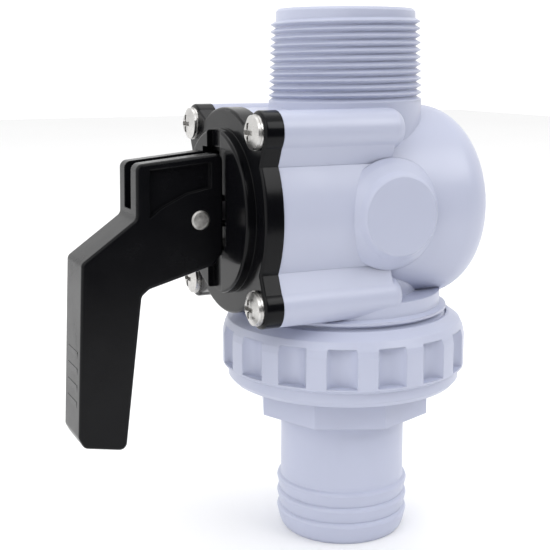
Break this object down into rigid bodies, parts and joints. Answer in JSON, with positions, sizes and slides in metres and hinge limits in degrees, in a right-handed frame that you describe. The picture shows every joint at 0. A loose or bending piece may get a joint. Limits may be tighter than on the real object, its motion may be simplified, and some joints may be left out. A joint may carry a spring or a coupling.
{
  "type": "diaphragm valve",
  "caption": "Lever-operated diaphragm valve: threaded pipe inlet above, union nut and ringed hose tail below, black cam lever on the side cover.",
  "frame": {"origin": "centre of the hose tail's end face, on the pipe axis", "axes": "+Z along the pipe axis from hose tail to threaded inlet; the lever and cover are on -X; the blind side boss is on -Y"},
  "size_m": [0.1304, 0.0788, 0.1692],
  "materials": {
    "white_body": "gloss",
    "white_nut": "gloss",
    "white_tail": "gloss",
    "black_cover": "semi-gloss",
    "black_handle": "semi-gloss",
    "diaphragm_rubber": "matte",
    "oring_rubber": "matte",
    "compressor_plastic": "satin",
    "stem_plastic": "satin",
    "bush_plastic": "satin",
    "screw_steel": "polished",
    "stud_steel": "polished",
    "washer_steel": "polished",
    "spring_steel": "satin",
    "pin_steel": "satin"
  },
  "bodies": {
    "valve_body": {"valve_body": "white_body", "cover": "black_cover", "cover_screw_1": "screw_steel", "cover_screw_2": "screw_steel", "cover_screw_3": "screw_steel", "cover_screw_4": "screw_steel", "screw_washer_1": "washer_steel", "screw_washer_2": "washer_steel", "screw_washer_3": "washer_steel", "screw_washer_4": "washer_steel", "diaphragm": "diaphragm_rubber", "stem_bush": "bush_plastic", "stem_oring": "oring_rubber", "return_spring": "spring_steel"},
    "stem": {"stem": "stem_plastic", "compressor": "compressor_plastic", "diaphragm_stud": "stud_steel", "spring_washer": "washer_steel"},
    "lever": {"handle": "black_handle", "pivot_pin": "pin_steel"},
    "tailpiece": {"tailpiece": "white_tail", "union_oring": "oring_rubber"},
    "union_nut": {"union_nut": "white_nut"}
  },
  "joints": [
    {"name": "stem_lift", "type": "slide", "parent": "valve_body", "child": "stem", "axis": [-1, 0, 0], "range_m": [0, 0.00936], "deforming": ["return_spring", "diaphragm"]},
    {"name": "lever_turn", "type": "hinge", "parent": "stem", "child": "lever", "pos_m": [-0.0527, 0, 0.1063], "axis": [0, 1, 0], "range_deg": [0, 90]},
    {"name": "tail_drop", "type": "slide", "parent": "valve_body", "child": "tailpiece", "axis": [0, 0, -1], "range_m": [0, 0.01401]},
    {"name": "nut_turn", "type": "hinge", "parent": "tailpiece", "child": "union_nut", "pos_m": [0, 0, 0.066], "axis": [0, 0, -1], "range_deg": [0, 1800]}
  ],
  "couplings": [
    {"joint": "stem_lift", "follows": "lever_turn", "m_per_rad": 0.0059524},
    {"joint": "tail_drop", "follows": "nut_turn", "m_per_rad": 0.00044563}
  ]
}
